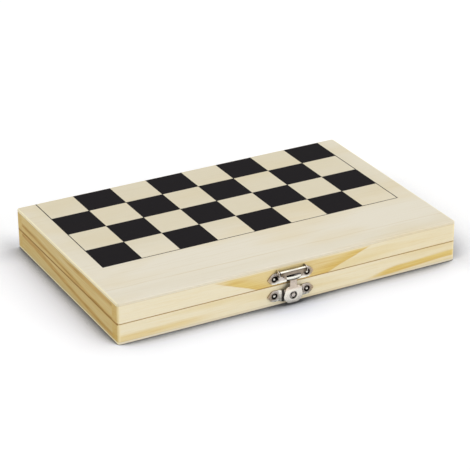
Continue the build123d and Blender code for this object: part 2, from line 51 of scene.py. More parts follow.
cameraLook = {
    "place": (-493.97, -938.43, 519.98),
    "right": (0.88289, -0.469513, -0.007935),
    "down": (-0.209232, -0.378207, -0.901766),
    "ahead": (0.42039, 0.79782, -0.432152),
    "lens": 153.45,
}


def setCamera(look):
    data = bpy.data.cameras.new("camera")
    data.sensor_width = 36
    data.lens = look["lens"]
    data.clip_start = 0.01
    data.clip_end = 50
    camera = placed("camera", data)
    axes = Matrix((look["right"], [-v for v in look["down"]], [-v for v in look["ahead"]]))
    camera.matrix_world = Matrix.Translation(Vector(look["place"]) * mm) @ axes.transposed().to_4x4()
    bpy.context.scene.camera = camera


setCamera(cameraLook)
print("camera set")


class Link:
    # a node's output, so that shader maths reads as plain sums

    def __init__(self, finish, socket):
        self.finish = finish
        self.socket = socket

    def sum(self, operation, first, second=0.0):
        return self.finish.node("ShaderNodeMath", {"operation": operation}, {0: first, 1: second})

    def __add__(self, other):
        return self.sum("ADD", self, other)

    __radd__ = __add__

    def __sub__(self, other):
        return self.sum("SUBTRACT", self, other)

    def __rsub__(self, other):
        return self.sum("SUBTRACT", other, self)

    def __mul__(self, other):
        return self.sum("MULTIPLY", self, other)

    def __pow__(self, other):
        return self.sum("POWER", self, other)

    def __abs__(self):
        return self.sum("ABSOLUTE", self)

    def least(self, other):
        return self.sum("MINIMUM", self, other)

    def most(self, other):
        return self.sum("MAXIMUM", self, other)


class Finish:
    # a material or world being wired up

    def __init__(self, name, owner=None):
        self.owner = owner or bpy.data.materials.new(name)
        self.owner.use_nodes = True
        self.tree = self.owner.node_tree
        self.shader = self.tree.nodes.get("Principled BSDF")

    def node(self, kind, settings, sockets, output=0):
        made = self.tree.nodes.new(kind)
        for key, value in settings.items():
            if key == "stops":
                while len(made.color_ramp.elements) < len(value):
                    made.color_ramp.elements.new(0.5)
                for stop, (place, shade) in zip(made.color_ramp.elements, value):
                    stop.position = place
                    stop.color = shade
            else:
                setattr(made, key, value)
        for key, value in sockets.items():
            self.feed(made.inputs[key], value)
        if output == "all":
            return [Link(self, socket) for socket in made.outputs]
        return Link(self, made.outputs[output])

    def feed(self, socket, value):
        if isinstance(value, Link):
            self.tree.links.new(value.socket, socket)
        else:
            socket.default_value = value

    def surface(self, **values):
        # the shader's own sockets, by name with the spaces left out
        for socket in self.shader.inputs:
            name = socket.name.replace(" ", "")
            if name in values:
                self.feed(socket, values[name])

    def millimetres(self):
        place = self.node("ShaderNodeTexCoord", {}, {}, 3)
        return self.stretched(place, (1 / mm, 1 / mm, 1 / mm))

    def apart(self, place):
        return self.node("ShaderNodeSeparateXYZ", {}, {0: place}, "all")

    def rays(self):
        # whether the camera sees by this ray, and whether by a mirror
        path = self.node("ShaderNodeLightPath", {}, {}, "all")
        return path[0].most(path[3]).most(path[6]), path[3]

    def openness(self, reach, samples):
        sockets = {"Distance": reach * mm}
        return self.node("ShaderNodeAmbientOcclusion", {"samples": samples}, sockets, 1)

    def stretched(self, place, factors):
        return self.node("ShaderNodeVectorMath", {"operation": "MULTIPLY"}, {0: place, 1: factors})

    def shifted(self, place, steps):
        return self.node("ShaderNodeVectorMath", {"operation": "ADD"}, {0: place, 1: steps})

    def noise(self, place, scale=1.0, detail=2.0, roughness=0.5, distortion=0.0):
        return self.node("ShaderNodeTexNoise", {}, {
            "Vector": place, "Scale": scale, "Detail": detail,
            "Roughness": roughness, "Distortion": distortion,
        })

    def fade(self, value, start, end, low=0.0, high=1.0):
        # smooth step from low at start to high at end
        if start > end:
            start, end, low, high = end, start, high, low
        return self.node("ShaderNodeMapRange", {"interpolation_type": "SMOOTHSTEP"}, {
            "Value": value, "From Min": start, "From Max": end, "To Min": low, "To Max": high,
        })

    def mix(self, factor, under, over, blend="MIX"):
        return self.node("ShaderNodeMix", {"data_type": "RGBA", "blend_type": blend}, {
            0: factor, 6: under, 7: over,
        }, 2)

    def skin(self, colour, streaks, gloss, height, relief, **values):
        # gloss: a fade by the streaks; relief: the bump's depth and strength
        rough, raised = self.fade(streaks, *gloss), self.bump(height, *relief)
        self.surface(BaseColor=colour, Roughness=rough, Normal=raised, **values)

    def near(self, value, place, *fade):
        # a fade of how far value is from a place
        return self.fade(abs(value - place), *fade)

    def grain(self, place, factors, *shape):
        # stretched noise; shape: detail, roughness and distortion
        return self.noise(self.stretched(place, factors), 1.0, *shape)

    def bump(self, height, depth, strength):
        sockets = {"Height": height, "Distance": depth * mm, "Strength": strength}
        return self.node("ShaderNodeBump", {}, sockets)


def fadesOf(finish, look):
    # fades whose start, end, low and high stand in a dictionary
    return lambda value, name, *more: finish.fade(value, *look[name], *more)


def tone(red, green, blue):
    # a colour as it looks in a picture, 0 to 255, made linear
    return tuple(
        v / 12.92 if v <= 0.04045 else ((v + 0.055) / 1.055) ** 2.4
        for v in (red / 255, green / 255, blue / 255)
    ) + (1.0,)


studio = {
    # the paper: its size in metres, its depth below the box, its colour and its own light
    "floorSize": 12.0, "floorDrop": 0.02,
    "floorTone": (0.86, 0.86, 0.86, 1),
    "floorLift": 0.09,
    # how it darkens where it is closed in, close to the box and further out
    "samples": 16, "contactReach": 30.0,
    "contact": [(0.50, 0.12), (0.55, 0.46), (0.61, 0.8), (0.72, 0.97), (0.86, 1.0)],
    "wideReach": 120.0,
    "coolShade": (0.905, 0.925, 0.995, 1),
    "coolFade": (1.0, 0.7),
    # a deeper shade at the right end and the back left
    "sideShade": 0.4,
    "sideFade": (1.0, 0.62),
    "rightEnd": (100, 114), "rightFront": (-80, -45, 0.5, 1.0),
    "leftEnd": (-100, -114), "leftBack": (45, 80),
    # the room, and the box of light and the dim front that bright metal mirrors
    "skyLevel": 0.46, "softbox": 0.3,
    "softboxRise": (0.56, 0.66),
    "frontDim": 0.85,
    "frontAlong": (-0.15, -0.55), "frontFoot": (0.0, 0.1), "frontHead": (0.66, 0.46),
    # broad even lamps: the way towards them, their level and their spread
    "lamps": {
        "keyLamp": ((0.14, 0.14, 0.97), 0.45, 105),
        "fillLamp": ((0.45, -0.88, 0.14), 0.43, 40),
        "sideLamp": ((-1.0, -0.05, 0.1), 0.035, 60),
    },
}


def makeFloor(look):
    bpy.ops.mesh.primitive_plane_add(size=look["floorSize"], location=(0, 0, -look["floorDrop"] * mm))
    floor = bpy.context.object
    floor.name = "floor"
    finish = Finish("floorPaper")
    fade = fadesOf(finish, look)
    finish.surface(BaseColor=look["floorTone"], Roughness=0.9, SpecularIORLevel=0.1)
    # to the camera the paper is a clean white that keeps the shadow and darkens at the contact
    near = finish.openness(look["contactReach"], look["samples"])
    stops = [(place, (level, level, level, 1)) for place, level in look["contact"]]
    shade = finish.node("ShaderNodeValToRGB", {"stops": stops}, {0: near})
    # further out the shade is cool, and deeper on two sides
    wide = finish.openness(look["wideReach"], look["samples"])
    x, y, _ = finish.apart(finish.millimetres())
    right = fade(x, "rightEnd") * fade(y, "rightFront")
    left = fade(x, "leftEnd") * fade(y, "leftBack")
    depth = fade(wide, "sideFade")
    grey = 1 - right.most(left) * depth * (1 - look["sideShade"])
    cool = finish.mix(fade(wide, "coolFade"), (1, 1, 1, 1), look["coolShade"])
    shade = finish.mix(1.0, finish.mix(1.0, shade, cool, "MULTIPLY"), grey, "MULTIPLY")
    plain = finish.node("ShaderNodeBsdfDiffuse", {}, {"Color": shade})
    lift = finish.node("ShaderNodeEmission", {}, {"Color": shade, "Strength": look["floorLift"]})
    shown = finish.node("ShaderNodeAddShader", {}, {0: plain, 1: lift})
    base = Link(finish, finish.shader.outputs[0])
    mixed = finish.node("ShaderNodeMixShader", {}, {0: finish.rays()[0], 1: base, 2: shown})
    finish.feed(finish.tree.nodes["Material Output"].inputs[0], mixed)
    floor.data.materials.append(finish.owner)


def hangLamp(name, towards, level, spread):
    # level is what a white card facing the lamp would show
    data = bpy.data.lights.new(name, "SUN")
    data.energy = level * math.pi
    data.angle = math.radians(spread)
    lamp = placed(name, data)
    way = Vector(towards).normalized()
    lamp.location = way
    lamp.rotation_mode = "QUATERNION"
    lamp.rotation_quaternion = way.to_track_quat("Z", "Y")
    lamp.visible_glossy = False


def makeLight(look):
    world = bpy.data.worlds.new("studio")
    bpy.context.scene.world = world
    finish = Finish("studio", world)
    fade = fadesOf(finish, look)
    seen, mirror = finish.rays()
    _, along, up = finish.apart(finish.node("ShaderNodeTexCoord", {}, {}, 0))
    front = fade(along, "frontAlong") * fade(up, "frontFoot") * fade(up, "frontHead")
    box = fade(up, "softboxRise")
    dim = 1 - front * mirror * look["frontDim"] + box * mirror * look["softbox"]
    sky = finish.tree.nodes["Background"]
    finish.feed(sky.inputs[0], (1, 1, 1, 1))
    finish.feed(sky.inputs[1], (seen * (1 - look["skyLevel"]) + look["skyLevel"]) * dim)
    for name, (towards, level, spread) in look["lamps"].items():
        hangLamp(name, towards, level, spread)


bpy.context.scene.view_settings.view_transform = "Standard"
makeFloor(studio)
makeLight(studio)
print("floor and light set")


pine = {
    "pale": tone(234, 224, 196),
    "paleWarm": tone(228, 212, 168),
    "amber": tone(223, 198, 124),
    "amberDeep": tone(210, 174, 92),
    "vein": tone(196, 160, 96),
    "bandCore": tone(176, 134, 62),
    "bandGlow": tone(214, 172, 96),
    "endGrain": tone(217, 186, 99),
    "endRing": tone(212, 173, 84),
    # a painted highlight on the rounded corners where they catch the light
    "corner": tone(246, 232, 186),
    "jointLine": tone(196, 168, 108),
    # the seam's dark joint together with painted shade on its rounded edges
    "seamLine": tone(172, 128, 58),
    # how fine each figure is along the fibres and across them
    "sway": (0.012, 0.16),
    "streaks": (0.05, 2.2),
    "hairs": (0.16, 9.0),
    "rings": (0.1, 0.35, 1.5),
    "drift": (37.0, 23.0, 11.0),
    # how each figure turns into colour: start, end, and the shares there
    "warmFade": (0.42, 0.72),
    "streakFade": (0.45, 0.8, 0.0), "streakShare": 0.32,
    "richSway": 0.4,
    "richFade": (0.5, 0.95),
    "coreFade": (0.4, 0.6),
    "hairFade": (0.5, 0.82, 0.0, 0.22),
    "ringFade": (0.42, 0.6),
    # where the sawn ends, the corners, the glue line and the seam lie
    "endX": (106.7, 107.6, 0.0, 0.85),
    "cornerX": (106.0, 107.2), "cornerY": (68.4, 69.6), "cornerShare": 0.6,
    "seamHeight": 12.5,
    "joint": (11.0, 0.3, 0.05, 0.0, 0.6),
    "outerX": (107.3, 107.7), "outerY": (69.3, 69.7),
    "seamSway": 0.15,
    "frontSeam": (0.5, 0.2), "frontSeamShare": 0.8,
    "sideSeam": (0.85, 0.4), "sideSeamShare": 0.9,
    "gloss": (0.3, 0.8, 0.5, 0.66),
    "relief": (0.06, 0.35),
}


def alongFibres(scales, axis):
    factors = [scales[1]] * 3
    factors[axis] = scales[0]
    return factors


def pineFinish(name, axis, figure, seed, warmth=0.0):
    # axis: 0 or 1, the way that the fibres run; figure(finish, u, w, sway) gives the share of
    # amber wood and of the dark core of its bands, each 0 to 1
    finish = Finish(name)
    fade = fadesOf(finish, pine)
    place = finish.millimetres()
    drift = finish.shifted(place, [seed * step for step in pine["drift"]])
    x, y, z = finish.apart(place)
    sway = finish.grain(drift, alongFibres(pine["sway"], axis), 3.0)
    streaks = finish.grain(drift, alongFibres(pine["streaks"], axis), 3.0, 0.6)
    hairs = finish.grain(drift, alongFibres(pine["hairs"], axis), 2.0)
    amber, core = figure(finish, (x, y)[axis], z, sway)
    ground = finish.mix(fade(sway + warmth, "warmFade"), pine["pale"], pine["paleWarm"])
    streaked = fade(streaks, "streakFade", pine["streakShare"] + warmth)
    ground = finish.mix(streaked, ground, pine["amber"])
    deep = fade(streaks + sway * pine["richSway"], "richFade")
    wood = finish.mix(amber, ground, finish.mix(deep, pine["amber"], pine["amberDeep"]))
    heart = finish.mix(fade(streaks, "coreFade"), pine["bandGlow"], pine["bandCore"])
    wood = finish.mix(core, wood, heart)
    wood = finish.mix(fade(hairs, "hairFade"), wood, pine["vein"])
    if axis == 0:
        # the rail's sawn ends show its yearly rings, and its corners get a pale painted highlight
        rings = finish.grain(drift, pine["rings"], 3.0, 0.5, 0.6)
        end = finish.mix(fade(rings, "ringFade"), pine["endGrain"], pine["endRing"])
        wood = finish.mix(fade(abs(x), "endX"), wood, end)
        corner = fade(abs(x), "cornerX") * fade(abs(y), "cornerY")
        wood = finish.mix(corner * pine["cornerShare"], wood, pine["corner"])
    # the glue line where the thin panel sits on the rail, and the brown seam line: a dark joint, with
    # painted shade where the seam's rounded edges turn away from the light, widest on the ends
    level = abs(z - pine["seamHeight"])
    wood = finish.mix(finish.near(level, *pine["joint"]), wood, pine["jointLine"])
    sides, fronts = fade(abs(x), "outerX"), fade(abs(y), "outerY")
    frontSeam = fade(level + sway * pine["seamSway"], "frontSeam") * fronts
    sideSeam = fade(level, "sideSeam") * sides
    seam = (frontSeam * pine["frontSeamShare"]).most(sideSeam * pine["sideSeamShare"])
    wood = finish.mix(seam, wood, pine["seamLine"])
    marks = hairs * 0.6 + streaks * 0.4
    finish.skin(wood, streaks, pine["gloss"], marks, pine["relief"], SpecularIORLevel=0.25)
    return finish.owner


# in the figures u runs along the rail from its middle, and w is the height above the floor
wedge = {
    "middle": 0.8, "bend": 7.0,
    # its half width at the foot, and what each millimetre of height adds
    "footHeight": 12.7, "footHalf": 24.0, "growth": 2.65,
    "edge": (0.0, 2.6),
    "heart": (4.0, 22.0, 1.0, 0.72),
    "left": (-50.0, -36.0, 0.4, 1.0),
    "topBend": 1.4,
    "top": (23.2, 21.8),
    "rim": (2.4, 2.0, 0.0, 0.0, 0.12),
    "rightEnd": (50.0, 100.0, 0.0, 0.12),
}


def wedgeFigure(finish, u, w, sway):
    # the broad tapered flame on the lid's front rail, deepest in colour along its sloping edges
    fade = fadesOf(finish, wedge)
    edge = abs(u - wedge["middle"]) + (sway - 0.5) * wedge["bend"]
    within = (w - wedge["footHeight"]) * wedge["growth"] + wedge["footHalf"] - edge
    depth = fade(within, "heart") * fade(u, "left")
    under = fade(w + (sway - 0.5) * wedge["topBend"], "top")
    rim = finish.near(within, *wedge["rim"])
    flame = fade(within, "edge") * under * depth
    return flame.most(fade(u, "rightEnd")), rim * under


lowBand = {
    "bend": 1.6,
    # the right band: its upper and lower edge rise along the rail
    "upperRise": (44.0, 72.0, 2.8, 6.9), "upperTail": (72.0, 106.0, 0.0, 1.3),
    "lowerRise": (50.0, 106.0, 1.5, 3.9),
    "upper": (-0.5, 1.5), "lower": (-0.7, 0.5),
    "rightStart": (44.0, 62.0),
    # the fine line at its lower edge
    "line": (0.4, 0.9, 0.2), "lineStart": (56.0, 80.0), "lineShare": 0.12,
    # the left band and the brown foot below it
    "leftHeight": 3.9,
    "left": (2.6, 0.4), "leftStart": (-40.0, -74.0), "leftShare": 0.6,
    "foot": (2.6, 1.0), "footStart": (-60.0, -100.0), "footShare": 0.35,
    "rightEnd": (40.0, 100.0, 0.0, 0.18),
}


def lowBandFigure(finish, u, w, sway):
    # a broad soft band at the right end of the tray's front rail and a fainter one at the left
    fade = fadesOf(finish, lowBand)
    lift = (sway - 0.5) * lowBand["bend"]
    upper = fade(u, "upperRise") + fade(u, "upperTail") + lift
    lower = fade(u, "lowerRise") + lift
    right = fade(upper - w, "upper") * fade(w - lower, "lower") * fade(u, "rightStart")
    line = finish.near(w - lower, *lowBand["line"]) * fade(u, "lineStart")
    left = fade(abs(w - lowBand["leftHeight"] + lift), "left") * fade(u, "leftStart")
    foot = fade(w, "foot") * fade(u, "footStart")
    warm = fade(u, "rightEnd")
    amber = right.most(left * lowBand["leftShare"]).most(warm)
    return amber, (foot * lowBand["footShare"]).most(line * lowBand["lineShare"])


leftBands = {
    "bend": 1.6,
    "run": (-70.0, 70.0),
    # each band's height at the front, and how far it climbs towards the back
    "upper": 12.9, "upperClimb": 4.1, "lower": 3.3, "lowerClimb": 7.4, "top": 21.3,
    "topEnd": (-20.0, 30.0, 0.0, 3.0),
    # how much narrower one band's glow or core is than the others'
    "lowerGlow": 0.3, "topGlow": 0.4, "upperCore": 0.2,
    "glow": (2.8, 0.6, 0.7, 1.0),
    "backGlow": 0.84,
    "core": (1.9, 0.3, 0.0, 0.95),
    "frontCore": 0.84, "coreClimb": 0.16,
}


def leftBandsFigure(finish, u, w, sway):
    # both left rails: amber wood with darker bands that drop towards the front
    fade = fadesOf(finish, leftBands)
    lift = (sway - 0.5) * leftBands["bend"]
    back = fade(u, "run")
    upper = abs(w - back * leftBands["upperClimb"] - leftBands["upper"] - lift)
    lower = abs(w - back * leftBands["lowerClimb"] - leftBands["lower"] - lift)
    top = abs(w - leftBands["top"] - lift) + fade(u, "topEnd")
    near = upper.least(lower + leftBands["lowerGlow"]).least(top + leftBands["topGlow"])
    glow = fade(near, "glow").most(back * leftBands["backGlow"])
    near = (upper + leftBands["upperCore"]).least(lower).least(top)
    share = leftBands["frontCore"] + back * leftBands["coreClimb"]
    return glow, fade(near, "core") * share


quiet = {"glow": (0.56, 0.66, 0.0, 0.7), "core": (0.62, 0.7, 0.0, 0.2)}


def quietFigure(finish, u, w, sway):
    return finish.fade(sway, *quiet["glow"]), finish.fade(sway, *quiet["core"])


plyLook = {
    "face": tone(228, 221, 203),
    "faceWarm": tone(224, 211, 180),
    "heart": tone(213, 202, 172),
    "streak": tone(208, 190, 150),
    # the side edges' pale tone is a painted highlight on their rounded edge
    "edge": tone(254, 244, 208),
    "innerPly": tone(206, 178, 126),
    "drift": (41.0, 17.0, 0.0),
    "clouds": (0.012, 0.035, 0.1),
    "streaks": (0.018, 0.7, 0.7),
    "hairs": (0.12, 6.0, 6.0),
    "cloudFade": (0.42, 0.72),
    "streakFade": (0.5, 0.85, 0.0, 0.4),
    "hairFade": (0.5, 0.85, 0.0, 0.16),
    # the heartwood towards the back
    "heartStray": 14,
    "heartY": (-34, 4), "heartX": (104, 90, 0.3, 0.66),
    # the year line: its place, slant and waves, and the tint behind it
    "lineY": 56.0, "lineSlant": 0.016,
    "lineWaves": (0.03, 0.0, 0.0), "lineSwing": 3.0,
    "lineFade": (0.75, 0.1), "lineBreaks": (0.3, 0.6),
    "tintStart": (-0.2, -7.0), "tintEnd": (-14, -8), "tintShare": 0.3,
    # the sawn edges, the sides painted pale as a highlight on their rounded edge, and the inner ply that
    # they show
    "sideX": (107.0, 107.7),
    "frontY": (69.1, 69.8), "frontShare": 0.04,
    "ply": (11.72, 0.34, 0.2),
    "plyFront": 0.6, "plyShare": 0.28,
    "gloss": (0.3, 0.8, 0.5, 0.64),
    "relief": (0.05, 0.3),
}


def plywoodFinish(name, seed, ripple=0.0):
    # ripple: how strongly the wavy year line near the catch's side shows
    look = plyLook
    finish = Finish(name)
    fade = fadesOf(finish, look)
    place = finish.millimetres()
    drift = finish.shifted(place, [seed * step for step in look["drift"]])
    x, y, z = finish.apart(place)
    clouds = finish.grain(drift, look["clouds"], 2.0)
    streaks = finish.grain(drift, look["streaks"], 4.0, 0.62)
    hairs = finish.grain(drift, look["hairs"], 2.0)
    wood = finish.mix(fade(clouds, "cloudFade"), look["face"], look["faceWarm"])
    wood = finish.mix(fade(streaks, "streakFade"), wood, look["streak"])
    wood = finish.mix(fade(hairs, "hairFade"), wood, look["streak"])
    back = fade(y + (streaks - 0.5) * look["heartStray"], "heartY")
    wood = finish.mix(back * fade(abs(x), "heartX"), wood, look["heart"])
    waves = finish.grain(drift, look["lineWaves"], 1.0)
    line = y + look["lineY"] + x * look["lineSlant"] - waves * look["lineSwing"]
    tint = fade(line, "tintStart") * fade(line, "tintEnd")
    wood = finish.mix(tint * ripple * look["tintShare"], wood, look["heart"])
    drawn = fade(abs(line), "lineFade") * fade(streaks, "lineBreaks")
    wood = finish.mix(drawn * ripple, wood, look["streak"])
    side, front = fade(abs(x), "sideX"), fade(abs(y), "frontY")
    # painted highlight along the side edges
    wood = finish.mix(side, wood, look["edge"])
    wood = finish.mix(front * look["frontShare"], wood, look["streak"])
    level = abs(z - pine["seamHeight"])
    inner = finish.near(level, *look["ply"]) * side.most(front * look["plyFront"])
    wood = finish.mix(inner * look["plyShare"], wood, look["innerPly"])
    marks = hairs * 0.5 + streaks * 0.5
    finish.skin(wood, streaks, look["gloss"], marks, look["relief"], SpecularIORLevel=0.22)
    return finish.owner


inkLook = {
    "ink": tone(31, 29, 31),
    "worn": tone(48, 45, 43),
    "streaks": (0.03, 1.1, 1.0),
    "hairs": (0.15, 7.0, 1.0),
    "wornFade": (0.45, 0.8, 0.0, 0.6),
    "gloss": (0.3, 0.8, 0.7, 0.84),
    "relief": (0.04, 0.3),
}


def inkFinish(name):
    # the wood's grain shows through the print as faint worn streaks
    finish = Finish(name)
    place = finish.millimetres()
    streaks = finish.grain(place, inkLook["streaks"], 4.0, 0.65)
    hairs = finish.grain(place, inkLook["hairs"], 2.0)
    worn = finish.fade(streaks * 0.6 + hairs * 0.4, *inkLook["wornFade"])
    ink = finish.mix(worn, inkLook["ink"], inkLook["worn"])
    finish.skin(ink, streaks, inkLook["gloss"], hairs, inkLook["relief"], SpecularIORLevel=0.02)
    return finish.owner


def dress(name, material):
    for slot in nodes[name].material_slots:
        slot.material = material


# each rail's finish, the way of its fibres, its figure, its seed and how much warmer it is
rails = {
    "top_front_rail": ("pineLidFront", 0, wedgeFigure, 1),
    "bottom_front_rail": ("pineTrayFront", 0, lowBandFigure, 2),
    "top_left_rail": ("pineLidLeft", 1, leftBandsFigure, 3, 0.2),
    "bottom_left_rail": ("pineTrayLeft", 1, leftBandsFigure, 4, 0.2),
    "top_back_rail": ("pineBack1", 0, quietFigure, 5),
    "bottom_back_rail": ("pineBack2", 0, quietFigure, 6),
    "top_right_rail": ("pineRight1", 1, quietFigure, 7, 0.1),
    "bottom_right_rail": ("pineRight2", 1, quietFigure, 8, 0.1),
}
for name, recipe in rails.items():
    dress(name, pineFinish(*recipe))
dress("top_panel", plywoodFinish("plywoodLid", 1, 0.5))
dress("bottom_panel", plywoodFinish("plywoodTray", 2))
ink = inkFinish("boardInk")
dress("top_print", ink)
dress("bottom_print", ink)
print("wood and print dressed")


metalLook = {
    "nickel": tone(212, 203, 195),
    "tongue": tone(228, 214, 199),
    "polished": tone(250, 249, 238),
    "brass": tone(186, 152, 98),
    "steel": tone(196, 192, 186),
    "soil": tone(108, 93, 73),
    "crevice": tone(14, 11, 9),
    # the marks in the sheet: scale, detail and roughness, or how they are stretched
    "clouds": (0.35, 3.0), "specks": (2.6, 4.0, 0.65),
    "rolling": (0.25, 1.0, 7.0), "waves": (0.55, 1.0),
    "rollingDepth": 0.05, "speckDepth": 0.02,
    "relief": (0.3, 0.8),
    # soil, and painted shade: how dark the corners and creases within reach become
    "grimeFade": (0.5, 0.72, 0.0),
    "grimeDullness": 0.3, "reach": 6.0, "samples": 12,
    "deepFade": (0.56, 0.24), "cloudFade": (0.3, 0.7), "cloudDullness": 0.1,
    # how far edges are rolled over, and what counts as one
    "round": {"catch": 0.14, "leaf": 0.12, "pin": 0.06, "screws": 0.08},
    "roundSteps": 3, "sharpAngle": 38, "smoothAngle": 32, "flatAngle": 1.5,
    "mergeDistance": 0.001,
}


def metalFinish(name, colour, roughness, soil, wear=None):
    # plated sheet: faint clouding, rolling marks, random dull soil, and painted shade that darkens the
    # corners and creases within reach; wear(finish, x, z) gives the share of painted highlight, of duller
    # darker surface, of painted shade and of an amber tint painted at the tips for the wood they mirror,
    # and how wavy the sheet is
    look = metalLook
    finish = Finish(name)
    fade = fadesOf(finish, look)
    place = finish.millimetres()
    cloud = finish.noise(place, *look["clouds"])
    specks = finish.noise(place, *look["specks"])
    rolling = finish.grain(place, look["rolling"], 3.0)
    grime = fade(cloud * 0.5 + specks * 0.5, "grimeFade", soil)
    # painted shade: darker where other parts close the sheet in
    deep = fade(finish.openness(look["reach"], look["samples"]), "deepFade")
    height = rolling * look["rollingDepth"] + specks * look["speckDepth"]
    if wear:
        x, _, z = finish.apart(place)
        highlight, dull, dark, amberTint, wave = wear(finish, x, z)
        # the painted amber tint and painted highlight go into the colour, and the painted shade joins the
        # shade from closeness
        colour = finish.mix(amberTint, finish.mix(highlight, colour, look["polished"]), look["brass"])
        grime, deep = (grime * (1 - highlight)).most(dull), deep.most(dark)
        height = height + finish.noise(place, *look["waves"]) * wave
    clouded = fade(cloud, "cloudFade", roughness, roughness + look["cloudDullness"])
    finish.surface(
        BaseColor=finish.mix(deep, finish.mix(grime, colour, look["soil"]), look["crevice"]),
        Metallic=1.0,
        Roughness=clouded + grime * look["grimeDullness"],
        Normal=finish.bump(height, *look["relief"]),
    )
    return finish.owner


def nearest(value, places):
    return abs(value - places[0]).least(abs(value - places[1]))


# x is measured from the box's middle and z from the floor
plateLook = {
    "middle": -1.8,
    # two nails in each plate: a painted dark ring of shade round the head, a painted highlight on the
    # head and a dull dish
    "nailOut": 10.4, "nailHeights": (16.8, 6.2),
    "ring": (1.4, 0.68, 0.3), "ringShare": 0.98,
    "head": (0.8, 0.5), "dish": (4.6, 1.6),
    "dishStart": (0.5, 0.9), "dishShare": 0.55,
    # painted highlights on the lips between the plates, clear of the nails
    "lipHeights": (13.6, 2.9),
    "lip": (1.7, 0.6), "lipStart": (2.1, 2.9),
    # a painted highlight on the keeper's left ramp and painted shadow in the gap beside it
    "keeperTop": (10.6, 10.2),
    "ramp": (-9.0, 0.8, 0.4), "rampShare": 0.8,
    "gap": (-7.6, 1.0, 0.5), "gapShare": 0.95,
    # painted shade on the plate behind the tongue's window
    "windowHeight": (17.6, 1.3, 0.9),
    "windowWidth": (-1.4, 5.8, 5.2), "windowShare": 0.9,
    # an amber tint painted at the tips, for the wood they mirror
    "tips": (10.8, 14.0, 0.0, 0.6),
    "wave": 1.6,
}


def plateWear(finish, x, z):
    # the stamped plates are a little wavy; painted shade rings the nail heads, fills the gap by the
    # keeper's ramp and lies behind the tongue's window;
    # painted highlights lie on the nail heads, the lips and the keeper's left ramp; the dish round each
    # nail is duller, and the tips get a painted amber tint for the wood they mirror
    look, fade = plateLook, fadesOf(finish, plateLook)
    out = abs(x - look["middle"])
    across, up = abs(out - look["nailOut"]), nearest(z, look["nailHeights"])
    off = (across * across + up * up) ** 0.5
    ring = finish.near(off, *look["ring"])
    lip = fade(off, "lipStart") * fade(nearest(z, look["lipHeights"]), "lip")
    keeper = fade(z, "keeperTop")
    ramp, gap = finish.near(x, *look["ramp"]) * keeper, finish.near(x, *look["gap"]) * keeper
    behind = finish.near(z, *look["windowHeight"]) * finish.near(x, *look["windowWidth"])
    dish = fade(off, "dish") * (1 - lip) * fade(off, "dishStart")
    highlight = lip.most(fade(off, "head")).most(ramp * look["rampShare"])
    dark = (ring * look["ringShare"]).most(gap * look["gapShare"]).most(behind * look["windowShare"])
    return highlight, dish * look["dishShare"], dark, fade(out, "tips"), look["wave"]


tongueLook = {
    "middle": -1.4,
    # the pressed louvre, painted bright as a highlight, whose lower rim curves up at both sides
    "rimHeight": 15.5, "rimCurve": 0.035,
    "rim": (0.1, 0.5),
    "louvreWidth": (4.8, 4.3),
    "louvreTop": (18.0, 17.7), "louvreShare": 0.95,
    # painted shade below its rim and in the slot above it
    "under": (0.42, 0.12), "underWidth": (5.2, 4.2), "underShare": 0.7,
    "slotHeight": (18.2, 0.5, 0.2), "slotWidth": (4.9, 4.2), "slotShare": 0.9,
    # painted shade with a duller surface on the ends of the body between the neck and the barrel and on
    # the neck, and a painted highlight along the top of the barrel
    "ends": (5.2, 7.4, 0.68, 0.95),
    "bodyFoot": (14.8, 15.4), "bodyTop": (21.1, 20.6),
    "barrel": (20.7, 21.1), "barrelShare": 0.75,
    "neckHeight": (9.2, 10.4), "neckWidth": (3.6, 2.6), "neckShare": 0.25,
    # the disc, painted bright as a reflection, and painted shade round its hole
    "disc": (9.8, 8.6, 0.0, 0.6),
    "holeHeight": 5.6, "holeRim": (2.1, 0.5, 0.2), "holeShare": 0.75,
    "wave": 0.15,
}


def tongueWear(finish, x, z):
    # painted highlights on the louvre, along the top of the barrel and on the disc; painted shade with a
    # duller surface at the ends and on the neck, and painted shade under the louvre's rim, in the slot
    # and round the hole
    look, fade = tongueLook, fadesOf(finish, tongueLook)
    across, low = abs(x - look["middle"]), z - look["holeHeight"]
    rim = z - look["rimHeight"] - across * across * look["rimCurve"]
    louvre = fade(rim, "rim") * fade(across, "louvreWidth") * fade(z, "louvreTop")
    under = fade(abs(rim), "under") * fade(across, "underWidth")
    slot = finish.near(z, *look["slotHeight"]) * fade(across, "slotWidth")
    ends = fade(across, "ends") * fade(z, "bodyFoot") * fade(z, "bodyTop")
    neck = fade(z, "neckHeight") * fade(across, "neckWidth")
    barrel, disc = fade(z, "barrel"), fade(z, "disc")
    hole = finish.near((across * across + low * low) ** 0.5, *look["holeRim"])
    highlight = (louvre * look["louvreShare"]).most(barrel * look["barrelShare"]).most(disc)
    dull = ends.most(neck * look["neckShare"]) * (1 - louvre)
    dark = (under * look["underShare"]).most(slot * look["slotShare"]).most(hole * look["holeShare"])
    return highlight, dull, dark, 0.0, look["wave"]


def onlyActive(piece):
    bpy.ops.object.select_all(action="DESELECT")
    piece.select_set(True)
    bpy.context.view_layer.objects.active = piece


def openEdit(piece):
    onlyActive(piece)
    bpy.ops.object.mode_set(mode="EDIT")
    bpy.ops.mesh.select_all(action="SELECT")


def closeEdit():
    bpy.ops.object.mode_set(mode="OBJECT")


def closeSolid():
    # every face looks outwards
    bpy.ops.mesh.select_all(action="SELECT")
    bpy.ops.mesh.normals_make_consistent(inside=False)
    closeEdit()


def applied(piece, kind, **settings):
    # a modifier, applied at once
    onlyActive(piece)
    made = piece.modifiers.new(kind.lower(), kind)
    for key, value in settings.items():
        setattr(made, key, value)
    bpy.ops.object.modifier_apply(modifier=made.name)


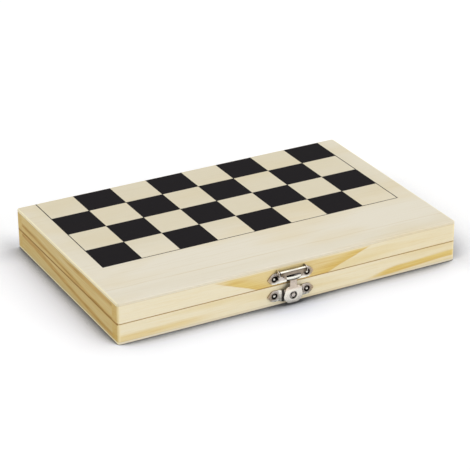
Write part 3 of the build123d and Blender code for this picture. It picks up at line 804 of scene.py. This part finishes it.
def rounded(piece, width, steps, angle):
    applied(piece, "BEVEL", width=width * mm, segments=steps, limit_method="ANGLE",
            angle_limit=math.radians(angle))


def smoothed(piece, angle):
    onlyActive(piece)
    bpy.ops.object.shade_smooth_by_angle(angle=math.radians(angle))


def softened(name, body, material, kind):
    # a copy of a CAD node with its sharp edges rolled over, which stands for that node
    piece = placed(name + "Finished", nodes[name].data.copy())
    openEdit(piece)
    bpy.ops.mesh.customdata_custom_splitnormals_clear()
    bpy.ops.mesh.remove_doubles(threshold=metalLook["mergeDistance"] * mm)
    bpy.ops.mesh.dissolve_limited(angle_limit=math.radians(metalLook["flatAngle"]))
    closeEdit()
    rounded(piece, metalLook["round"][kind], metalLook["roundSteps"], metalLook["sharpAngle"])
    smoothed(piece, metalLook["smoothAngle"])
    piece.data.materials.clear()
    piece.data.materials.append(material)
    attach(piece, body)
    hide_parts(name)


tongueNickel = metalFinish("nickelTongue", metalLook["tongue"], 0.18, 0.3, tongueWear)
plateNickel = metalFinish("nickelPlates", metalLook["nickel"], 0.12, 0.4, plateWear)
steel = metalFinish("hingeSteel", metalLook["steel"], 0.28, 0.35)
for name in ("catch_plate", "catch_pin", "catch_plate_nails"):
    softened(name, "lid", plateNickel, "catch")
softened("catch_tongue", "tongue", tongueNickel, "catch")
for name in ("keeper_plate", "keeper_nails"):
    softened(name, "lower_tray", plateNickel, "catch")
for hand in ("left", "right"):
    softened(hand + "_hinge_lower_leaf", "lower_tray", steel, "leaf")
    softened(hand + "_hinge_upper_leaf", "lid", steel, "leaf")
    softened(hand + "_hinge_pin", "lower_tray", steel, "pin")
softened("lower_hinge_screws", "lower_tray", steel, "screws")
softened("upper_hinge_screws", "lid", steel, "screws")
print("metal pieces finished")


menLook = {
    # height and base radius of each kind
    "sizes": {
        "king": (31.0, 6.5), "queen": (28.5, 6.25), "bishop": (25.5, 6.0),
        "knight": (23.5, 6.0), "rook": (21.0, 6.0), "pawn": (19.0, 5.25),
    },
    "officers": ["rook", "knight", "bishop", "queen", "king", "bishop", "knight", "rook"],
    "baseThickness": 1.8, "collar": 0.9, "sides": 32, "tipInset": 0.5,
    "smoothAngle": 40, "cutAngle": 34,
    # where they lie in the tray
    "trayLength": 202.0, "trayDepth": 126.0, "trayFloor": 1.5, "pitch": 15.2,
    "sideGap": 2.0, "pawnGap": 2.2, "officerGap": 24.0, "turn": 2.5, "turnStep": 2.3,
    "seat": 0.15,
}


def turnedPiece(name, rings):
    # lathe work: a disc raised ring by ring, each ring (radius, height) sized about the axis
    radius, height = rings[0]
    bpy.ops.mesh.primitive_circle_add(vertices=menLook["sides"], radius=radius * mm, fill_type="NGON",
                                      location=(0, 0, height * mm))
    piece = bpy.context.object
    piece.name = name
    bpy.ops.object.transform_apply()
    openEdit(piece)
    for nextRadius, nextHeight in rings[1:]:
        rise, grow = (nextHeight - height) * mm, nextRadius / radius
        bpy.ops.mesh.extrude_region_move(TRANSFORM_OT_translate={"value": (0, 0, rise)})
        bpy.ops.transform.resize(value=(grow, grow, 1), center_override=(0, 0, nextHeight * mm))
        radius, height = nextRadius, nextHeight
    bpy.ops.mesh.inset(thickness=radius * menLook["tipInset"] * mm)
    bpy.ops.mesh.merge(type="CENTER")
    closeSolid()
    return piece


def outline(pairs, radius, level=0, scale=1):
    # rings from pairs: a share of a radius, and a height above a level
    return [(radius * share, level + rise * scale) for share, rise in pairs]


stemLook = {
    "foot": [
        (0.94, 0), (0.985, 0.12), (1.0, 0.4), (1.0, 1.35), (0.975, 1.65),
        (0.92, 1.8), (0.86, 1.84), (0.84, 2.1), (0.8, 2.45), (0.68, 3.0),
    ],
    "waist": 0.34, "bend": 2.6, "steps": 9,
    "collar": [(0.86, 0.04), (0.96, 0.2), (1.0, 0.5), (0.96, 0.8), (0.86, 1.0)],
}


def stemRings(base, collarHeight, collarRadius):
    # rounded base, a small step, the tapering stem and its collar
    rings = outline(stemLook["foot"], base)
    foot, lift = rings[-1]
    waist, steps = base * stemLook["waist"], stemLook["steps"]
    for share in [step / steps for step in range(1, steps + 1)]:
        width = waist + (foot - waist) * (1 - share) ** stemLook["bend"]
        rings.append((width, lift + (collarHeight - lift) * share))
    return rings + outline(stemLook["collar"], collarRadius, collarHeight, menLook["collar"])


def arcRings(radius, middle, first, last, count):
    # part of a ball, from one angle to another above its middle height
    angles = [math.radians(first + (last - first) * step / count) for step in range(count + 1)]
    return [(radius * math.cos(angle), middle + radius * math.sin(angle)) for angle in angles]


# each man's rings come with the radius and the height at which its head rests
pawnLook = {"head": 0.66, "sink": 0.6, "collar": 0.6, "ball": (84, 12)}


def pawnRings(height, base):
    head, thick = base * pawnLook["head"], menLook["collar"]
    middle, collarHeight = height - head, height - 2 * head - thick * pawnLook["sink"]
    start = math.degrees(math.asin((collarHeight + thick - middle) / head))
    rings = stemRings(base, collarHeight, base * pawnLook["collar"])
    return rings + arcRings(head, middle, start, *pawnLook["ball"]), head, middle


rookLook = {
    "head": 0.68, "collarHeight": 0.66,
    # the neck's heights are in collars, the others' are from the top
    "neck": [(0.86, 1.2), (0.85, 2), (0.88, 3)],
    "rim": [(0.95, -2.2), (1.0, -1.8), (1.0, -0.12), (0.97, 0)],
    "well": [(0.42, 0), (0.39, -0.1), (0.38, -1.3), (0.35, -1.4)],
    "notch": (0.3, 2.4, 2.4),
}


def rookRings(height, base):
    head, collarHeight = base * rookLook["head"], height * rookLook["collarHeight"]
    rings = stemRings(base, collarHeight, head)
    rings += outline(rookLook["neck"], head, collarHeight, menLook["collar"])
    rings += outline(rookLook["rim"], head, height) + outline(rookLook["well"], base, height)
    return rings, head, height


bishopLook = {
    "head": 0.56, "knob": 0.16, "collarHeight": 0.56, "collar": 0.62,
    "neck": [(0.5, 0.02)],
    # a tall egg: its rings, start, lean and fullness
    "egg": (12, 0.16, 0.82, 0.8),
    "eggTip": 0.8, "ballShare": 1.25,
    "ball": (-50, 84, 7),
    "slit": (2, 0.6, 0.7, 0.5, 0.8, -35),
}


def bishopRings(height, base):
    look = bishopLook
    head, knob = base * look["head"], base * look["knob"]
    top = height * look["collarHeight"] + menLook["collar"]
    rings = stemRings(base, height * look["collarHeight"], base * look["collar"])
    rings += outline(look["neck"], head, top)
    steps, start, lean, fullness = look["egg"]
    for share in [step / steps for step in range(1, steps)]:
        # full below, drawn in above
        swell = math.sin(math.pi * (start + (1 - start) * share) ** lean) ** fullness
        rings.append((max(knob * look["eggTip"], head * swell), top + (height - 2 * knob - top) * share))
    ball = knob * look["ballShare"]
    return rings + arcRings(ball, height - ball, *look["ball"]), head, top + head


queenLook = {
    "head": 0.62, "collarHeight": 0.62, "collar": 0.58, "crown": 0.9,
    # how the head widens: steps, share at the foot, growth, bend and drop
    "flare": (7, 0.55, 0.45, 2.2, 0.35),
    "rim": [(1.0, -0.1), (0.94, 0), (0.78, -0.05), (0.5, 0.1)],
    "ballShare": 0.56,
    "ball": (-38, 84, 8),
}
kingLook = {
    "head": 0.6, "collarHeight": 0.6, "collar": 0.6, "crown": 0.82,
    "flare": (6, 0.58, 0.4, 1.15, 0.5),
    "rim": [(1.0, -0.3), (1.0, -0.05), (0.95, 0.15), (0.8, 0.6), (0.55, 1.2)],
    "knobHeight": 0.88,
    "knob": [(0.34, -0.1), (0.28, 0)],
}


def crownedRings(height, base, look):
    head, crown = base * look["head"], height * look["crown"]
    top = height * look["collarHeight"] + menLook["collar"]
    rings = stemRings(base, height * look["collarHeight"], base * look["collar"])
    steps, foot, growth, bend, drop = look["flare"]
    for share in [step / steps for step in range(steps + 1)]:
        width = head * (foot + growth * share ** bend)
        rings.append((width, top + 0.05 + (crown - drop - top) * share))
    return rings + outline(look["rim"], head, crown), head, crown


def queenRings(height, base):
    rings, head, crown = crownedRings(height, base, queenLook)
    ball = (height - crown) * queenLook["ballShare"]
    return rings + arcRings(ball, height - ball, *queenLook["ball"]), head, crown


def kingRings(height, base):
    rings, head, crown = crownedRings(height, base, kingLook)
    return rings + outline(kingLook["knob"], head, height * kingLook["knobHeight"]), head, crown


knightLook = {
    "collarHeight": 0.3, "collar": 0.7, "thickness": 4.6, "reach": 0.62,
    # chest, throat, jaw, muzzle, brow, ears and a stepped mane
    "outline": [
        (0.72, 0.0), (0.78, 0.07), (0.8, 0.14), (0.76, 0.22), (0.64, 0.31), (0.46, 0.4), (0.26, 0.48),
        (0.25, 0.52), (0.42, 0.555), (0.66, 0.54), (0.88, 0.505), (1.04, 0.5), (1.14, 0.53), (1.16, 0.57),
        (1.14, 0.63), (1.04, 0.68), (0.84, 0.74), (0.66, 0.81), (0.5, 0.87), (0.36, 0.91), (0.33, 0.97),
        (0.26, 1.0), (0.16, 0.95), (0.02, 0.925), (-0.18, 0.93), (-0.24, 0.89), (-0.42, 0.885),
        (-0.48, 0.83), (-0.64, 0.81), (-0.68, 0.74), (-0.8, 0.7), (-0.82, 0.62), (-0.92, 0.57),
        (-0.9, 0.47), (-0.94, 0.39), (-0.9, 0.24), (-0.84, 0.12), (-0.76, 0.0),
    ],
    "inset": 0.55,
    # how the outline, the muzzle and the ears are thinned
    "edgeShare": 0.74, "earStart": 0.45, "muzzleStart": 0.3, "muzzleShare": 0.4,
    "thinning": 0.5, "thinMost": 0.7, "round": 0.22,
}


def knightRings(height, base):
    rings = stemRings(base, height * knightLook["collarHeight"], base * knightLook["collar"])
    return rings, knightLook["thickness"] / 2, height


def cutOut(name, points, depth):
    # a flat shape traced point by point in the XZ plane, then raised to its thickness along Y
    bpy.ops.mesh.primitive_plane_add(size=mm, location=(0, 0, 0))
    piece = bpy.context.object
    piece.name = name
    openEdit(piece)
    bpy.ops.mesh.merge(type="CENTER")
    first = Vector((points[0][0], -depth / 2, points[0][1])) * mm
    bpy.ops.transform.translate(value=first)
    for here, there in zip(points, points[1:]):
        step = Vector((there[0] - here[0], 0, there[1] - here[1])) * mm
        bpy.ops.mesh.extrude_vertices_move(TRANSFORM_OT_translate={"value": step})
    bpy.ops.mesh.select_all(action="SELECT")
    bpy.ops.mesh.edge_face_add()
    bpy.ops.mesh.extrude_region_move(TRANSFORM_OT_translate={"value": (0, depth * mm, 0)})
    closeSolid()
    return piece


def horseHead(height, base):
    look = knightLook
    low = height * look["collarHeight"] + menLook["collar"] / 2
    rise, reach = height - low, base * look["reach"]
    points = [(reach * across, low + rise * up) for across, up in look["outline"]]
    head = cutOut("horseHead", points, look["thickness"])
    openEdit(head)
    bpy.ops.mesh.select_mode(type="FACE")
    bpy.ops.mesh.select_all(action="DESELECT")
    closeEdit()
    for face in head.data.polygons:
        face.select = len(face.vertices) > 4
    bpy.ops.object.mode_set(mode="EDIT")
    bpy.ops.mesh.inset(thickness=look["inset"] * mm, depth=0.0)
    closeEdit()
    side = look["thickness"] / 2 * mm
    cheeks = {index for face in head.data.polygons if face.select for index in face.vertices}
    for point in head.data.vertices:
        # the cheeks stay full and the outline is thinned, most at the muzzle and the ears
        share = 1.0 if point.index in cheeks else look["edgeShare"]
        ears = max(0.0, (point.co.z / mm - low) / rise - look["earStart"])
        muzzle = max(0.0, point.co.x / mm / reach - look["muzzleStart"])
        far = min(ears + muzzle * look["muzzleShare"], look["thinMost"])
        point.co.y *= share * (1 - look["thinning"] * far)
        point.co.y = max(-side, min(side, point.co.y))
    rounded(head, look["round"], 2, menLook["cutAngle"])
    return head


crossLook = {
    "thickness": 1.3, "foot": 0.862, "arm": 0.93, "reach": 1.2,
    # the right half, in halves of the thickness: out from the middle or by the arm's reach, and up
    "outline": [
        (0.8, "foot", 0), (0.7, "arm", -1), ("reach", "arm", -1.1),
        ("reach", "arm", 1.1), (0.7, "arm", 1), (1.1, "top", 0),
    ],
    "round": 0.12,
}


def crossPiece(height):
    look = crossLook
    half = look["thickness"] / 2
    wide = look["thickness"] * look["reach"]
    levels = {"foot": height * look["foot"], "arm": height * look["arm"], "top": height}
    right = []
    for out, level, rise in look["outline"]:
        right.append((wide if out == "reach" else half * out, levels[level] + half * rise))
    left = [(-across, up) for across, up in reversed(right)]
    cross = cutOut("cross", left[-1:] + right + left[:-1], look["thickness"])
    rounded(cross, look["round"], 2, menLook["cutAngle"])
    return cross


def cutter(name, size, place, tilt=0.0):
    # a plain block that is only used to cut, tilted in the YZ plane, then deleted
    bpy.ops.mesh.primitive_cube_add(size=1, location=[v * mm for v in place])
    block = bpy.context.object
    block.name = name
    block.scale = [v * mm for v in size]
    block.rotation_euler = (math.radians(tilt), 0, 0)
    bpy.ops.object.transform_apply()
    return block


def carved(piece, block):
    applied(piece, "BOOLEAN", operation="DIFFERENCE", object=block, solver="EXACT")
    bpy.data.objects.remove(block)


def joined(piece, part):
    onlyActive(piece)
    part.select_set(True)
    bpy.ops.object.join()


def modelMan(kind):
    height, base = menLook["sizes"][kind]
    rings, headRadius, headHeight = {
        "pawn": pawnRings, "rook": rookRings, "bishop": bishopRings,
        "queen": queenRings, "king": kingRings, "knight": knightRings,
    }[kind](height, base)
    man = turnedPiece(kind, rings)
    if kind == "rook":
        wide, long, high = rookLook["notch"]
        for across, along in ((wide, long), (long, wide)):
            carved(man, cutter("notch", (base * across, base * along, high), (0, 0, height)))
    if kind == "bishop":
        wide, deep, high, out, up, tilt = bishopLook["slit"]
        size, place = (base * wide, base * deep, high), (0, base * out, height * up)
        carved(man, cutter("slit", size, place, tilt))
    if kind == "knight":
        joined(man, horseHead(height, base))
    if kind == "king":
        joined(man, crossPiece(height))
    smoothed(man, menLook["smoothAngle"])
    return man, base, headRadius, headHeight


def lyingPlace(x, y, heading, base, headRadius, headHeight):
    # on its side a man rests on the rim of its base and on its head, so its axis slopes down
    thick = menLook["baseThickness"]
    span = math.hypot(base, headHeight - thick)
    slope = math.acos(headRadius / span) - math.atan2(headHeight - thick, base)
    forward = Vector((-math.sin(heading), math.cos(heading), 0))
    axis = forward * math.cos(slope) - Vector((0, 0, math.sin(slope)))
    upward = forward * math.sin(slope) + Vector((0, 0, math.cos(slope)))
    lift = menLook["trayFloor"] + menLook["seat"] + base * math.cos(slope) + thick * math.sin(slope)
    turn = Matrix((upward.cross(axis), upward, axis)).transposed().to_4x4()
    return Matrix.Translation(Vector((x, y, lift)) * mm) @ turn


woods = {
    "white": {
        "name": "paleTurnedWood", "slot": "light_men", "light": tone(228, 199, 150),
        "dark": tone(214, 178, 124), "vein": tone(184, 142, 90), "gloss": (0.3, 0.8, 0.36, 0.5),
    },
    "black": {
        "name": "darkTurnedWood", "slot": "dark_men", "light": tone(74, 44, 30),
        "dark": tone(54, 32, 23), "vein": tone(30, 18, 14), "gloss": (0.3, 0.8, 0.34, 0.48),
    },
}
grainLook = {
    "bands": (0.35, 0.045, 0.35), "fibres": (4.0, 0.3, 4.0), "pores": (7.0, 1.1, 7.0),
    "bandFade": (0.36, 0.66), "fibreFade": (0.5, 0.82, 0.0, 0.5),
    "poreFade": (0.6, 0.8, 0.0, 0.35),
    "relief": (0.05, 0.3),
}


def turnedWood(wood):
    # close-grained turning wood under a thin lacquer, the fibres along the man
    look = grainLook
    finish = Finish(wood["name"])
    fade = fadesOf(finish, look)
    place = finish.millimetres()
    bands = finish.grain(place, look["bands"], 3.0, 0.55, 0.4)
    fibres = finish.grain(place, look["fibres"], 3.0, 0.6)
    pores = finish.grain(place, look["pores"], 2.0)
    colour = finish.mix(fade(bands, "bandFade"), wood["light"], wood["dark"])
    colour = finish.mix(fade(fibres, "fibreFade"), colour, wood["vein"])
    colour = finish.mix(fade(pores, "poreFade"), colour, wood["vein"])
    marks = fibres * 0.6 + pores * 0.4
    finish.skin(colour, fibres, wood["gloss"], marks, look["relief"],
                CoatWeight=0.35, CoatRoughness=0.16, SpecularIORLevel=0.4)
    return finish.owner


def layMen(look):
    models = {kind: modelMan(kind) for kind in look["sizes"]}
    finishes = {colour: (turnedWood(wood), wood["slot"]) for colour, wood in woods.items()}
    for colour, side in (("white", -1), ("black", 1)):
        for kinds, gap in ((["pawn"] * 8, look["pawnGap"]), (look["officers"], look["officerGap"])):
            for place, kind in enumerate(kinds):
                number = "_" + str(kinds[:place + 1].count(kind))
                name = colour + "_" + kind + ("" if kinds.count(kind) == 1 else number)
                x = look["sideGap"] - look["trayLength"] / 2 + (place + 0.5) * look["pitch"]
                y = side * (look["trayDepth"] / 2 - gap)
                sway = math.sin(look["turnStep"] * place + len(kinds[0]) + side)
                heading = (0 if side < 0 else math.pi) + math.radians(look["turn"]) * sway
                model, base, headRadius, headHeight = models[kind]
                man = placed(name + "Turned", model.data.copy())
                man.matrix_world = lyingPlace(x, y, heading, base, headRadius, headHeight)
                onlyActive(man)
                bpy.ops.object.transform_apply()
                wood, slotName = finishes[colour]
                man.data.materials.clear()
                man.data.materials.append(wood)
                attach(man, "lower_tray")
                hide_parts(name)
    for kind in models:
        bpy.data.objects.remove(models[kind][0])


layMen(menLook)
print("chessmen laid in the tray")
